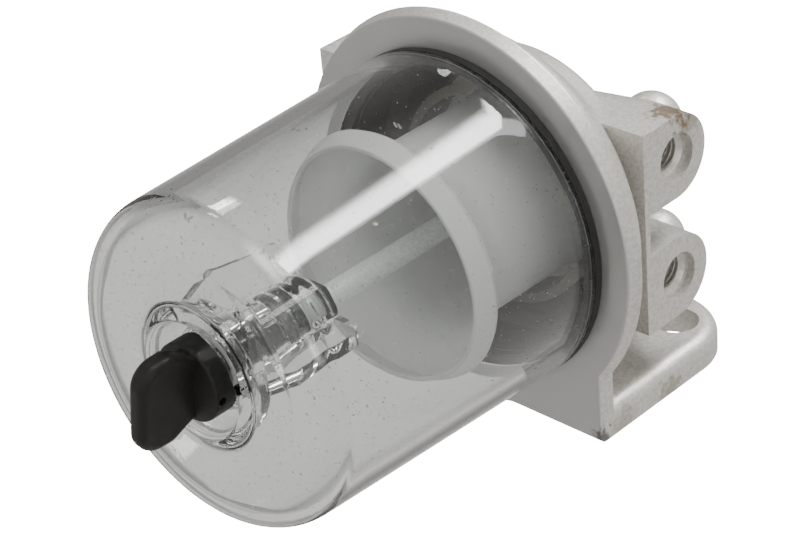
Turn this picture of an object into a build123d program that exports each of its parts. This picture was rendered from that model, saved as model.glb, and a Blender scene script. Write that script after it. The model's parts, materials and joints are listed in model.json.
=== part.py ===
"""Fuel water separator: a die-cast head with a clear sediment bowl, baffle, tie rod and drain screw.

The mounting face is the plane y = 0 and the wall is on its +Y side. The origin lies midway
between the two mounting slots. +Z is up, so the bowl hangs down along its own vertical axis.
Heights below are measured up from the flange face that the bowl's gasket bears on.
All sizes are in millimetres.
"""

import os
from math import cos, radians, sin

from build123d import *

# Clearances
thread_clearance = 0.05
moulded_clearance = 0.05
push_clearance = 0.10
free_clearance = 0.30

# Place of the bowl axis and the flange face
wall_distance = 61.0
slot_height = 54.5

# Head flange and crown
flange_rear_radius = 63.4
flange_flare = 1.8
flange_thickness = 4.8
shoulder_inset = 7.0
shoulder_height = 12.8
shoulder_rounding = 8.0
waist_radius = 44.5
waist_height = 24.5
waist_rounding = 6.0
crown_radius = 41.0
crown_height = 35.7
crown_rounding = 7.0
rim_rounding = 0.8

# Chamber inside the head
chamber_radius = 45.2
chamber_side_height = 13.0
chamber_shoulder_radius = 42.0
chamber_shoulder_height = 18.0
chamber_ceiling_radius = 38.0
crown_wall = 5.2
chamber_rounding = 3.0
spigot_radius = 35.0
spigot_wall = 3.0
spigot_end_height = 12.0

# Rod hole and nut pad on the crown
pad_radius = 9.6
pad_rise = 1.8
rod_hole_radius = 4.3

# Bracket
bracket_half_width = 49.2
apron_thickness = 6.3
plate_thickness = 9.7
plate_height = 70.4
plate_corner_radius = 21.0
plate_edge_rounding = 4.5
bracket_inner_rounding = 4.0
bracket_foot_rounding = 2.5
slot_half_spacing = 33.5
slot_width = 14.0
slot_length = 17.0

# Port bars, shared by both sides of the head
front_port_offset = -17.1
rear_port_offset = 22.3
bar_radius = 13.2
bar_foot_drop = 14.9
bar_inner_end = 10.0
bar_slope_reach = 36.0
bar_slope_drop = 6.0
open_lug_reach = 49.2
open_lug_height = 38.4
plugged_lug_reach = 67.2
plugged_lug_height = 27.6
strip_thickness = 2.1
dome_radius = 9.5
dome_reach = 30.0
dome_height = 51.1

# Ports and passages
port_counterbore_radius = 7.45
port_counterbore_depth = 3.0
port_chamfer = 1.3
port_radius = 5.2
port_thread_length = 10.0
passage_radius = 4.0
drop_radius = 2.6
inlet_drop_reach = 34.6
outlet_drop_reach = 18.0
plugged_passage_end = 34.0

# Bowl
gasket_thickness = 2.6
bowl_mouth_radius = 52.3
bowl_base_radius = 48.8
bowl_wall = 3.6
bowl_depth = 107.2
bowl_corner_radius = 12.2
bowl_mouth_rounding = 0.6
pocket_mouth_radius = 17.1
pocket_floor_radius = 15.6
pocket_depth = 10.1
pocket_rounding = 1.3
collar_radius = 12.7
collar_drop = 2.65
boss_radius = 11.0
boss_foot_radius = 11.8
boss_length = 29.5
boss_rounding = 1.5
bulge_rounding = 3.0
rib_count = 3
rib_reach = 21.5
rib_thickness = 4.7
rib_corner_radius = 5.0
rib_foot_reach = 19.5
rib_foot_rise = 3.5

# Insert in the bowl's boss, and the drain hole below it
insert_radius = 6.2
insert_cover = 4.3
insert_length = 11.5
insert_knurl_depth = 0.6
insert_groove_width = 2.0
drain_hole_radius = 4.95
water_hole_radius = 1.5
drain_pitch = 1.5
drain_turns = 3

# Gasket
gasket_inner_radius = 45.6

# Baffle
baffle_wall = 2.0
baffle_neck_height = 18.0
baffle_step_height = 11.5
baffle_skirt_height = 8.0
baffle_skirt_radius = 39.0
baffle_rim_radius = 40.0
baffle_rim_depth = 30.5
baffle_lip_radius = 35.7
baffle_lip_depth = 34.1
baffle_rounding = 1.2

# Tie rod with its nuts and washer
rod_radius = 3.55
rod_thread_radius = 4.0
rod_end_chamfer = 0.8
rod_lower_thread_length = 21.0
rod_lower_end_gap = 1.2
rod_upper_thread_length = 16.0
nut_across_flats = 13.0
lock_nut_height = 4.0
cap_nut_hex_height = 6.5
cap_nut_height = 15.0
cap_nut_dome_radius = 6.0
cap_nut_bore_depth = 11.0
nut_chamfer = 0.6
washer_radius = 8.6
washer_thickness = 1.5

# Port plugs with their washers
plug_washer_thickness = 1.5
plug_collar_length = 3.4
plug_hex_across_flats = 14.0
plug_hex_length = 6.0
plug_thread_length = 9.0

# Drain screw with its seals
drain_thread_radius = 4.9
drain_tip_gap = 1.1
drain_tip_chamfer = 0.7
drain_seal_thickness = 1.0
drain_seal_inner_radius = 6.2
drain_seal_radius = 10.4
drain_port_drop = 3.1
drain_port_radius = 1.3
drain_bore_radius = 1.6
drain_outlet_radius = 1.3
drain_outlet_rise = 1.9
o_ring_rise = 6.55
o_ring_section = 1.6
o_ring_groove_width = 2.2
knob_radius = 11.7
knob_height = 8.0
knob_top_rounding = 1.4
knob_foot_rounding = 0.8
knob_crown = 2.2
wing_turn = 101.0
wing_neck_inset = 0.7
wing_neck_length = 0.8
wing_half_width = 14.7
wing_shoulder_drop = 7.2
wing_shoulder_radius = 6.0
wing_paddle_length = 11.4
wing_tip_radius = 7.0
wing_root_thickness = 8.0
wing_tip_thickness = 6.0
wing_edge_rounding = 2.5

# Planes and axes that every piece shares
axis_y = -wall_distance
face_z = -slot_height
face = Plane((0, axis_y, face_z))
section = Plane(origin=(0, axis_y, face_z), x_dir=(1, 0, 0), z_dir=(0, -1, 0))
bowl_axis = Axis((0, axis_y, face_z), (0, 0, 1))
mounting_plane = Plane(origin=(0, 0, face_z), x_dir=(1, 0, 0), z_dir=(0, -1, 0))


def outline_beside_axis(*corners):
    """Closed outline in the plane of the bowl axis. A corner is radius, height and rounding."""
    with BuildSketch(section) as outline:
        with BuildLine():
            points = [(radius, height) for radius, height, _ in corners]
            FilletPolyline(points, radius=[rounding for _, _, rounding in corners], close=True)
        make_face()
    return outline.sketch


def across_x(reach):
    """Plane square to X at a signed reach from the bowl axis: its x is world Y, its y is world Z."""
    return Plane(origin=(reach, axis_y, face_z), x_dir=(0, 1, 0), z_dir=(1, 0, 0))


def bar_outline(plane, offset, height):
    """Outline of a port bar: a flat foot, upright sides and a round top."""
    with BuildSketch(plane) as outline:
        with Locations((offset, height)):
            Circle(bar_radius)
        with Locations((offset, height - bar_foot_drop / 2)):
            Rectangle(2 * bar_radius, bar_foot_drop)
    return outline.sketch


def round_hole(plane, offset, height, radius):
    """Circle on a plane square to X, at an offset and a height."""
    with BuildSketch(plane) as outline:
        with Locations((offset, height)):
            Circle(radius)
    return outline.sketch


def port_outline(reach, inward, offset, height):
    """Half section of a port: counterbore, chamfer and thread hole. Inward is 1 or -1 along X."""
    port_plane = Plane(
        origin=(reach, axis_y + offset, face_z + height), x_dir=(inward, 0, 0), z_dir=(0, -1, 0)
    )
    with BuildSketch(port_plane) as outline:
        with BuildLine():
            Polyline(
                (0, 0),
                (0, port_counterbore_radius),
                (port_counterbore_depth, port_counterbore_radius),
                (port_counterbore_depth, port_radius + port_chamfer),
                (port_counterbore_depth + port_chamfer, port_radius),
                (port_depth, port_radius),
                (port_depth, 0),
                close=True,
            )
        make_face()
    return outline.sketch


def port_axis(offset, height):
    """Axis of a port, along X."""
    return Axis((0, axis_y + offset, face_z + height), (1, 0, 0))


crown_floor_height = crown_height - crown_wall
pad_height = crown_height + pad_rise
plate_inner_offset = wall_distance - plate_thickness
plate_foot_height = apron_thickness / 2
flange_front_radius = flange_rear_radius - flange_flare
shoulder_radius = flange_rear_radius - shoulder_inset
port_offsets = (front_port_offset, rear_port_offset)
port_depth = port_counterbore_depth + port_chamfer + port_thread_length
port_end_reach = open_lug_reach - port_depth

# Head casting: flange, crown, bracket, port bars, chamber and passages
with BuildPart() as head_casting:
    with BuildSketch(mounting_plane):
        with Locations((0, (plate_height + plate_foot_height) / 2)):
            Rectangle(2 * bracket_half_width, plate_height - plate_foot_height)
    extrude(amount=plate_thickness)
    fillet(
        head_casting.edges().filter_by(Axis.Y).group_by(Axis.Z)[-1],
        radius=plate_corner_radius,
    )
    plate_inner_face = head_casting.faces().filter_by(Axis.Y).sort_by(Axis.Y)[0]
    fillet(
        plate_inner_face.edges().filter_by(lambda edge: edge.center().Z > face_z + apron_thickness),
        radius=plate_edge_rounding,
    )
    with BuildSketch(across_x(0)):
        with BuildLine():
            FilletPolyline(
                [
                    (0, 0),
                    (wall_distance, 0),
                    (wall_distance, apron_thickness),
                    (0, apron_thickness),
                ],
                radius=[0, bracket_foot_rounding, 0, 0],
                close=True,
            )
        make_face()
    extrude(amount=bracket_half_width, both=True)
    with BuildSketch(across_x(0)):
        with BuildLine():
            FilletPolyline(
                [
                    (plate_inner_offset, apron_thickness),
                    (plate_inner_offset, apron_thickness + 2 * bracket_inner_rounding),
                    (plate_inner_offset + apron_thickness / 2, apron_thickness),
                    (plate_inner_offset, plate_foot_height),
                    (plate_inner_offset - 2 * bracket_inner_rounding, apron_thickness),
                ],
                radius=[bracket_inner_rounding, 0, 0, 0, 0],
                close=True,
            )
        make_face()
    extrude(amount=bracket_half_width - plate_edge_rounding, both=True)
    with BuildSketch(mounting_plane):
        with Locations((-slot_half_spacing, slot_height), (slot_half_spacing, slot_height)):
            SlotOverall(slot_length, slot_width)
    extrude(amount=plate_thickness, mode=Mode.SUBTRACT)

    revolve(
        outline_beside_axis(
            (0, 0, 0),
            (flange_front_radius, 0, rim_rounding),
            (flange_rear_radius, flange_thickness, rim_rounding),
            (shoulder_radius + rim_rounding, flange_thickness, rim_rounding),
            (shoulder_radius, shoulder_height, shoulder_rounding),
            (waist_radius, waist_height, waist_rounding),
            (crown_radius, crown_height, crown_rounding),
            (pad_radius, crown_height, 0),
            (pad_radius, pad_height, rim_rounding),
            (0, pad_height, 0),
        ),
        axis=bowl_axis,
    )

    for offset in port_offsets:
        extrude(
            bar_outline(across_x(open_lug_reach), offset, open_lug_height),
            amount=-(open_lug_reach - bar_slope_reach),
        )
        loft(
            [
                bar_outline(across_x(bar_slope_reach), offset, open_lug_height),
                bar_outline(across_x(bar_inner_end), offset, open_lug_height - bar_slope_drop),
            ]
        )
        extrude(
            bar_outline(across_x(-plugged_lug_reach), offset, plugged_lug_height),
            amount=plugged_lug_reach - bar_inner_end,
        )
        with Locations((dome_reach, axis_y + offset, face_z + dome_height)):
            Sphere(dome_radius)

    strip_foot = open_lug_height - bar_foot_drop
    strip_middle = (front_port_offset + rear_port_offset) / 2
    with BuildSketch(face.offset(strip_foot)):
        with Locations(((open_lug_reach + bar_inner_end) / 2, strip_middle)):
            Rectangle(open_lug_reach - bar_inner_end, rear_port_offset - front_port_offset)
    extrude(amount=strip_thickness)

    revolve(
        outline_beside_axis(
            (0, 0, 0),
            (chamber_radius, 0, 0),
            (chamber_radius, chamber_side_height, chamber_rounding),
            (chamber_shoulder_radius, chamber_shoulder_height, chamber_rounding),
            (chamber_ceiling_radius, crown_floor_height, chamber_rounding),
            (0, crown_floor_height, 0),
        ),
        axis=bowl_axis,
        mode=Mode.SUBTRACT,
    )
    with BuildSketch(face.offset(spigot_end_height)):
        Circle(spigot_radius)
        Circle(spigot_radius - spigot_wall, mode=Mode.SUBTRACT)
    extrude(amount=crown_floor_height - spigot_end_height)

    with BuildSketch(face.offset(crown_floor_height)):
        Circle(rod_hole_radius)
    extrude(amount=pad_height - crown_floor_height, mode=Mode.SUBTRACT)

    for offset in port_offsets:
        revolve(
            port_outline(open_lug_reach, -1, offset, open_lug_height),
            axis=port_axis(offset, open_lug_height),
            mode=Mode.SUBTRACT,
        )
        revolve(
            port_outline(-plugged_lug_reach, 1, offset, plugged_lug_height),
            axis=port_axis(offset, plugged_lug_height),
            mode=Mode.SUBTRACT,
        )
        extrude(
            round_hole(
                across_x(port_counterbore_depth - plugged_lug_reach),
                offset,
                plugged_lug_height,
                passage_radius,
            ),
            amount=plugged_lug_reach - port_counterbore_depth - plugged_passage_end,
            mode=Mode.SUBTRACT,
        )

    # Inlet passage opens outside the spigot, outlet passage inside it
    for offset, drop_reach in zip(port_offsets, (inlet_drop_reach, outlet_drop_reach)):
        extrude(
            round_hole(across_x(port_end_reach), offset, open_lug_height, passage_radius),
            amount=-(port_end_reach - drop_reach + passage_radius),
            mode=Mode.SUBTRACT,
        )
        with BuildSketch(face.offset(spigot_end_height)):
            with Locations((drop_reach, offset)):
                Circle(drop_radius)
        extrude(amount=open_lug_height - spigot_end_height, mode=Mode.SUBTRACT)
head_casting.part.label = "head_casting"

# Heights down the bowl, all below the flange face
bowl_mouth_height = -gasket_thickness
bowl_floor_height = bowl_wall - bowl_depth
pocket_floor_height = pocket_depth - bowl_depth
collar_foot_height = pocket_floor_height - collar_drop
bulge_height = pocket_floor_height + bowl_wall
boss_top_height = bulge_height + boss_length
insert_top_height = boss_top_height - insert_cover
insert_foot_height = insert_top_height - insert_length
insert_pocket_radius = insert_radius + moulded_clearance
rod_way_radius = rod_thread_radius + free_clearance

# The drain screw's port meets the water hole when the screw has been turned all the way down
drain_travel = drain_pitch * drain_turns
drain_tip_height = insert_foot_height - drain_tip_gap
drain_port_height = drain_tip_height - drain_port_drop
water_hole_height = drain_port_height - drain_travel

# Sediment bowl: clear moulding with a drain pocket, a threaded boss and three ribs
with BuildPart() as bowl:
    revolve(
        outline_beside_axis(
            (bowl_mouth_radius, bowl_mouth_height, bowl_mouth_rounding),
            (bowl_base_radius, -bowl_depth, bowl_corner_radius),
            (pocket_mouth_radius, -bowl_depth, pocket_rounding),
            (pocket_floor_radius, pocket_floor_height, pocket_rounding),
            (collar_radius, pocket_floor_height, pocket_rounding / 2),
            (collar_radius, collar_foot_height, pocket_rounding / 2),
            (drain_hole_radius, collar_foot_height, 0),
            (drain_hole_radius, insert_foot_height, 0),
            (insert_pocket_radius, insert_foot_height, 0),
            (insert_pocket_radius, insert_top_height, 0),
            (rod_way_radius, insert_top_height, 0),
            (rod_way_radius, boss_top_height, 0),
            (boss_radius, boss_top_height, boss_rounding),
            (boss_foot_radius, bulge_height, boss_rounding),
            (pocket_floor_radius + bowl_wall, bulge_height, bulge_rounding),
            (pocket_mouth_radius + bowl_wall, bowl_floor_height, bulge_rounding),
            (bowl_base_radius - bowl_wall, bowl_floor_height, bowl_corner_radius - bowl_wall),
            (bowl_mouth_radius - bowl_wall, bowl_mouth_height, bowl_mouth_rounding),
        ),
        axis=bowl_axis,
    )
    for number in range(rib_count):
        angle = radians(number * 360 / rib_count)
        rib_plane = Plane(
            origin=(0, axis_y, face_z),
            x_dir=(cos(angle), sin(angle), 0),
            z_dir=(sin(angle), -cos(angle), 0),
        )
        rib_root = (boss_radius + insert_pocket_radius) / 2
        with BuildSketch(rib_plane):
            with BuildLine():
                FilletPolyline(
                    [
                        (rib_root, bulge_height - bowl_wall / 2),
                        (rib_foot_reach, bulge_height - bowl_wall / 2),
                        (rib_reach, bulge_height + rib_foot_rise),
                        (rib_reach, boss_top_height),
                        (rib_root, boss_top_height),
                    ],
                    radius=[0, 0, 0, rib_corner_radius, 0],
                    close=True,
                )
            make_face()
        extrude(amount=rib_thickness / 2, both=True)
    with BuildSketch(section):
        with Locations((0, water_hole_height)):
            Circle(water_hole_radius)
    extrude(amount=boss_foot_radius + boss_rounding, both=True, mode=Mode.SUBTRACT)
bowl.part.label = "bowl"

# Gasket between the bowl's mouth and the flange
with BuildPart() as bowl_gasket:
    revolve(
        outline_beside_axis(
            (gasket_inner_radius, 0, 0),
            (bowl_mouth_radius, 0, 0),
            (bowl_mouth_radius, bowl_mouth_height, 0),
            (gasket_inner_radius, bowl_mouth_height, 0),
        ),
        axis=bowl_axis,
    )
bowl_gasket.part.label = "bowl_gasket"

# Baffle: a milky skirt that is pushed onto the spigot inside the head
neck_inner_radius = spigot_radius + push_clearance
with BuildPart() as baffle:
    revolve(
        outline_beside_axis(
            (neck_inner_radius + baffle_wall, baffle_neck_height, 0),
            (neck_inner_radius + baffle_wall, baffle_step_height, baffle_rounding),
            (baffle_skirt_radius, baffle_skirt_height, baffle_rounding),
            (baffle_rim_radius, -baffle_rim_depth, baffle_rounding),
            (baffle_lip_radius, -baffle_lip_depth, baffle_wall / 4),
            (baffle_lip_radius - baffle_wall / 2, baffle_wall - baffle_lip_depth, baffle_wall / 4),
            (baffle_rim_radius - baffle_wall, baffle_wall / 2 - baffle_rim_depth, baffle_wall / 4),
            (baffle_skirt_radius - baffle_wall, baffle_skirt_height - baffle_wall / 2, baffle_rounding),
            (neck_inner_radius, baffle_step_height - baffle_wall / 2, baffle_rounding),
            (neck_inner_radius, baffle_neck_height, 0),
        ),
        axis=bowl_axis,
    )
baffle.part.label = "baffle"

# Insert moulded into the bowl's boss
insert_groove_top = insert_top_height - (insert_length - insert_groove_width) / 2
with BuildPart() as boss_insert:
    revolve(
        outline_beside_axis(
            (rod_thread_radius + thread_clearance, insert_top_height - moulded_clearance, 0),
            (insert_radius, insert_top_height - moulded_clearance, 0),
            (insert_radius, insert_groove_top, 0),
            (insert_radius - insert_knurl_depth, insert_groove_top, 0),
            (insert_radius - insert_knurl_depth, insert_groove_top - insert_groove_width, 0),
            (insert_radius, insert_groove_top - insert_groove_width, 0),
            (insert_radius, insert_foot_height + moulded_clearance, 0),
            (rod_thread_radius + thread_clearance, insert_foot_height + moulded_clearance, 0),
        ),
        axis=bowl_axis,
    )
boss_insert.part.label = "boss_insert"

# Tie rod: a long stud that runs from the insert up through the crown
washer_top_height = pad_height + washer_thickness
rod_top_height = washer_top_height + cap_nut_bore_depth - rod_end_chamfer
rod_foot_height = insert_foot_height + rod_lower_end_gap
lower_thread_height = rod_foot_height + rod_lower_thread_length
upper_thread_height = rod_top_height - rod_upper_thread_length
with BuildPart() as tie_rod:
    revolve(
        outline_beside_axis(
            (0, rod_foot_height, 0),
            (rod_thread_radius - rod_end_chamfer, rod_foot_height, 0),
            (rod_thread_radius, rod_foot_height + rod_end_chamfer, 0),
            (rod_thread_radius, lower_thread_height, 0),
            (rod_radius, lower_thread_height + rod_thread_radius - rod_radius, 0),
            (rod_radius, upper_thread_height + rod_radius - rod_thread_radius, 0),
            (rod_thread_radius, upper_thread_height, 0),
            (rod_thread_radius, rod_top_height - rod_end_chamfer, 0),
            (rod_thread_radius - rod_end_chamfer, rod_top_height, 0),
            (0, rod_top_height, 0),
        ),
        axis=bowl_axis,
    )
tie_rod.part.label = "tie_rod"

# Lock nut that holds the rod in the boss
lock_nut_foot = boss_top_height
nut_corner_radius = nut_across_flats / 2 / cos(radians(30))
nut_bore_radius = rod_thread_radius + thread_clearance
with BuildPart() as rod_lock_nut:
    with BuildSketch(face.offset(lock_nut_foot)):
        RegularPolygon(nut_across_flats / 2, 6, major_radius=False)
        Circle(nut_bore_radius, mode=Mode.SUBTRACT)
    extrude(amount=lock_nut_height)
    revolve(
        outline_beside_axis(
            (0, lock_nut_foot, 0),
            (nut_corner_radius - nut_chamfer, lock_nut_foot, 0),
            (nut_corner_radius, lock_nut_foot + nut_chamfer / 2, 0),
            (nut_corner_radius, lock_nut_foot + lock_nut_height - nut_chamfer / 2, 0),
            (nut_corner_radius - nut_chamfer, lock_nut_foot + lock_nut_height, 0),
            (0, lock_nut_foot + lock_nut_height, 0),
        ),
        axis=bowl_axis,
        mode=Mode.INTERSECT,
    )
rod_lock_nut.part.label = "rod_lock_nut"

# Sealing washer under the cap nut
with BuildPart() as cap_nut_washer:
    with BuildSketch(face.offset(pad_height)):
        Circle(washer_radius)
        Circle(rod_thread_radius + free_clearance, mode=Mode.SUBTRACT)
    extrude(amount=washer_thickness)
cap_nut_washer.part.label = "cap_nut_washer"

# Cap nut on top of the crown
cap_nut_top = washer_top_height + cap_nut_height
with BuildPart() as cap_nut:
    with BuildSketch(face.offset(washer_top_height)):
        RegularPolygon(nut_across_flats / 2, 6, major_radius=False)
    extrude(amount=cap_nut_hex_height)
    revolve(
        outline_beside_axis(
            (0, washer_top_height, 0),
            (nut_corner_radius - nut_chamfer, washer_top_height, 0),
            (nut_corner_radius, washer_top_height + nut_chamfer / 2, 0),
            (nut_corner_radius, washer_top_height + cap_nut_hex_height - nut_chamfer, 0),
            (nut_corner_radius - nut_chamfer, washer_top_height + cap_nut_hex_height, 0),
            (0, washer_top_height + cap_nut_hex_height, 0),
        ),
        axis=bowl_axis,
        mode=Mode.INTERSECT,
    )
    revolve(
        outline_beside_axis(
            (0, washer_top_height + cap_nut_hex_height, 0),
            (cap_nut_dome_radius, washer_top_height + cap_nut_hex_height, 0),
            (cap_nut_dome_radius, cap_nut_top, cap_nut_dome_radius - nut_chamfer),
            (0, cap_nut_top, 0),
        ),
        axis=bowl_axis,
    )
    with BuildSketch(face.offset(washer_top_height)):
        Circle(nut_bore_radius)
    extrude(amount=cap_nut_bore_depth, mode=Mode.SUBTRACT)
cap_nut.part.label = "cap_nut"

# Hexagon plugs and washers that close the two ports on the far side
plug_washer_reach = plugged_lug_reach - port_counterbore_depth
plug_seat_reach = plug_washer_reach + plug_washer_thickness
plug_head_reach = plug_seat_reach + plug_collar_length
plug_collar_radius = port_counterbore_radius - free_clearance
plug_thread_radius = port_radius - thread_clearance
plug_pieces = []
for name, offset in zip(("front", "rear"), port_offsets):
    with BuildPart() as plug_washer:
        with BuildSketch(across_x(-plug_seat_reach)):
            with Locations((offset, plugged_lug_height)):
                Circle(plug_collar_radius)
                Circle(plug_thread_radius + free_clearance, mode=Mode.SUBTRACT)
        extrude(amount=plug_washer_thickness)
    plug_washer.part.label = f"{name}_plug_washer"

    with BuildPart() as port_plug:
        with BuildSketch(across_x(-plug_head_reach - plug_hex_length)):
            with Locations((offset, plugged_lug_height)):
                RegularPolygon(plug_hex_across_flats / 2, 6, major_radius=False)
        extrude(amount=plug_hex_length)
        chamfer(
            port_plug.edges().filter_by(Plane.YZ).group_by(Axis.X)[0],
            length=nut_chamfer,
        )
        with BuildSketch(across_x(-plug_head_reach)):
            with Locations((offset, plugged_lug_height)):
                Circle(plug_collar_radius)
        extrude(amount=plug_collar_length)
        with BuildSketch(across_x(-plug_seat_reach)):
            with Locations((offset, plugged_lug_height)):
                Circle(plug_thread_radius)
        extrude(amount=plug_thread_length)
        chamfer(
            port_plug.edges().filter_by(GeomType.CIRCLE).group_by(Axis.X)[-1],
            length=nut_chamfer,
        )
    port_plug.part.label = f"{name}_plug"
    plug_pieces += [plug_washer.part, port_plug.part]

# Drain screw: round knob, hollow threaded shank and the wing that is turned by hand
knob_top_height = collar_foot_height - drain_seal_thickness
knob_foot_height = knob_top_height - knob_height
knob_middle_height = (knob_top_height + knob_foot_height) / 2
outlet_height = knob_foot_height + drain_outlet_rise
o_ring_height = collar_foot_height + o_ring_rise
groove_half_width = o_ring_groove_width / 2
groove_radius = drain_hole_radius - o_ring_section
wing_neck_half_width = knob_radius - wing_neck_inset
wing_neck_height = knob_foot_height - wing_neck_length
wing_shoulder_height = knob_foot_height - wing_shoulder_drop
wing_tip_height = wing_shoulder_height - wing_paddle_length
wing_direction = radians(wing_turn)
wing_plane = Plane(
    origin=(0, axis_y, face_z),
    x_dir=(cos(wing_direction), sin(wing_direction), 0),
    z_dir=(sin(wing_direction), -cos(wing_direction), 0),
)
wing_side = Plane(
    origin=(0, axis_y, face_z),
    x_dir=(sin(wing_direction), -cos(wing_direction), 0),
    z_dir=(-cos(wing_direction), -sin(wing_direction), 0),
)
with BuildPart() as drain_screw:
    with BuildSketch(wing_plane):
        with BuildLine():
            FilletPolyline(
                [
                    (-wing_neck_half_width, knob_middle_height),
                    (-wing_neck_half_width, wing_neck_height),
                    (-wing_half_width, wing_shoulder_height),
                    (-wing_half_width, wing_tip_height),
                    (wing_half_width, wing_tip_height),
                    (wing_half_width, wing_shoulder_height),
                    (wing_neck_half_width, wing_neck_height),
                    (wing_neck_half_width, knob_middle_height),
                ],
                radius=[
                    0,
                    wing_shoulder_radius / 2,
                    wing_shoulder_radius,
                    wing_tip_radius,
                    wing_tip_radius,
                    wing_shoulder_radius,
                    wing_shoulder_radius / 2,
                    0,
                ],
                close=True,
            )
        make_face()
    extrude(amount=wing_root_thickness / 2, both=True)
    with BuildSketch(wing_side):
        with BuildLine():
            Polyline(
                (-wing_root_thickness / 2, knob_middle_height),
                (-wing_tip_thickness / 2, wing_tip_height),
                (wing_tip_thickness / 2, wing_tip_height),
                (wing_root_thickness / 2, knob_middle_height),
                close=True,
            )
        make_face()
    extrude(amount=wing_half_width, both=True, mode=Mode.INTERSECT)
    fillet(
        drain_screw.edges().filter_by(
            lambda edge: edge.center().Z < face_z + knob_middle_height - wing_edge_rounding / 2
        ),
        radius=wing_edge_rounding,
    )
    revolve(
        outline_beside_axis(
            (0, knob_foot_height - knob_crown, 0),
            (knob_radius, knob_foot_height, knob_foot_rounding),
            (knob_radius, knob_top_height, knob_top_rounding),
            (drain_thread_radius, knob_top_height, 0),
            (drain_thread_radius, o_ring_height - groove_half_width, 0),
            (groove_radius, o_ring_height - groove_half_width, 0),
            (groove_radius, o_ring_height + groove_half_width, 0),
            (drain_thread_radius, o_ring_height + groove_half_width, 0),
            (drain_thread_radius, drain_tip_height - drain_tip_chamfer, 0),
            (drain_thread_radius - drain_tip_chamfer, drain_tip_height, 0),
            (0, drain_tip_height, 0),
        ),
        axis=bowl_axis,
    )
    with BuildSketch(face.offset(outlet_height)):
        Circle(drain_bore_radius)
    extrude(amount=drain_port_height - outlet_height, mode=Mode.SUBTRACT)
    with BuildSketch(section):
        with Locations((0, drain_port_height)):
            Circle(drain_port_radius)
    extrude(amount=drain_hole_radius, both=True, mode=Mode.SUBTRACT)
    with BuildSketch(wing_plane):
        with Locations((0, outlet_height)):
            Circle(drain_outlet_radius)
    extrude(amount=knob_radius + free_clearance, both=True, mode=Mode.SUBTRACT)
drain_screw.part.label = "drain_screw"

# Seal on top of the drain screw's knob, and the ring in its groove
with BuildPart() as drain_flange_seal:
    with BuildSketch(face.offset(knob_top_height)):
        Circle(drain_seal_radius)
        Circle(drain_seal_inner_radius, mode=Mode.SUBTRACT)
    extrude(amount=drain_seal_thickness)
drain_flange_seal.part.label = "drain_flange_seal"

o_ring_outer_radius = drain_hole_radius - thread_clearance
o_ring_inner_radius = groove_radius + thread_clearance
o_ring_width = o_ring_groove_width - 2 * push_clearance
with BuildPart() as drain_o_ring:
    revolve(
        outline_beside_axis(
            (o_ring_inner_radius, o_ring_height - o_ring_width / 2, o_ring_section / 4),
            (o_ring_outer_radius, o_ring_height - o_ring_width / 2, o_ring_section / 4),
            (o_ring_outer_radius, o_ring_height + o_ring_width / 2, o_ring_section / 4),
            (o_ring_inner_radius, o_ring_height + o_ring_width / 2, o_ring_section / 4),
        ),
        axis=bowl_axis,
    )
drain_o_ring.part.label = "drain_o_ring"

pieces = [
    head_casting.part,
    bowl.part,
    bowl_gasket.part,
    baffle.part,
    boss_insert.part,
    tie_rod.part,
    rod_lock_nut.part,
    cap_nut_washer.part,
    cap_nut.part,
    drain_screw.part,
    drain_flange_seal.part,
    drain_o_ring.part,
    *plug_pieces,
]

os.makedirs("parts", exist_ok=True)
for piece in pieces:
    export_step(piece, f"parts/{piece.label}.step")
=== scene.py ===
"""Finishes and fine pieces of the fuel water separator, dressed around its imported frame.

Sizes are in millimetres in the dataclass fields and are turned into metres where a mesh is built.
Places are measured beside the bowl's axis, and heights up from the flange face that the gasket
bears on, as the maker would.
"""

import json
import logging
import math
from dataclasses import dataclass, field
from enum import Enum
from typing import Sequence

import bmesh
import bpy
from mathutils import Matrix, Vector


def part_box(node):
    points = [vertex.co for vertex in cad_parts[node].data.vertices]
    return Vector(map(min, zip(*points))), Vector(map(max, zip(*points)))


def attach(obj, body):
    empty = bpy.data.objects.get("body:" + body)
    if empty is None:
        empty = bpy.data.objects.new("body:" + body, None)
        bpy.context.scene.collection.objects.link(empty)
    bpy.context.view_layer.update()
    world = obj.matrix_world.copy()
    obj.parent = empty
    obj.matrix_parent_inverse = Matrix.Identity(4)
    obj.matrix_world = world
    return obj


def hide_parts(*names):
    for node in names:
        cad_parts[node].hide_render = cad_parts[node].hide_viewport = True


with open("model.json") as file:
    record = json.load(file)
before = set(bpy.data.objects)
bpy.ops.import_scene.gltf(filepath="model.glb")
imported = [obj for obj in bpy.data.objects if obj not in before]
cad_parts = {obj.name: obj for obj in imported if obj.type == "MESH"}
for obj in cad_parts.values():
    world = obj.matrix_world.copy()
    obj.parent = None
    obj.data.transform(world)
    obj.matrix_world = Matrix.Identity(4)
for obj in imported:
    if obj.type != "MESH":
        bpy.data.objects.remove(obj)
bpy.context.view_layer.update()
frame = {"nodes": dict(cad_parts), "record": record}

LOG = logging.getLogger("fuel_water_separator")
MM = 0.001

GASKET_LOW, GASKET_HIGH = (Vector(corner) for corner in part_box("bowl_gasket"))
FACE_CENTRE = Vector(
    ((GASKET_LOW.x + GASKET_HIGH.x) / 2, (GASKET_LOW.y + GASKET_HIGH.y) / 2, GASKET_HIGH.z)
)


def place(x: float, y: float, height: float) -> Vector:
    """Turn a point beside the bowl axis, in millimetres, into a point of the row's frame."""
    return FACE_CENTRE + Vector((x, y, height)) * MM


class Body(Enum):
    """The bodies that pieces ride on."""

    FIXED = "separator"
    WING = "drain_wing"


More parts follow.
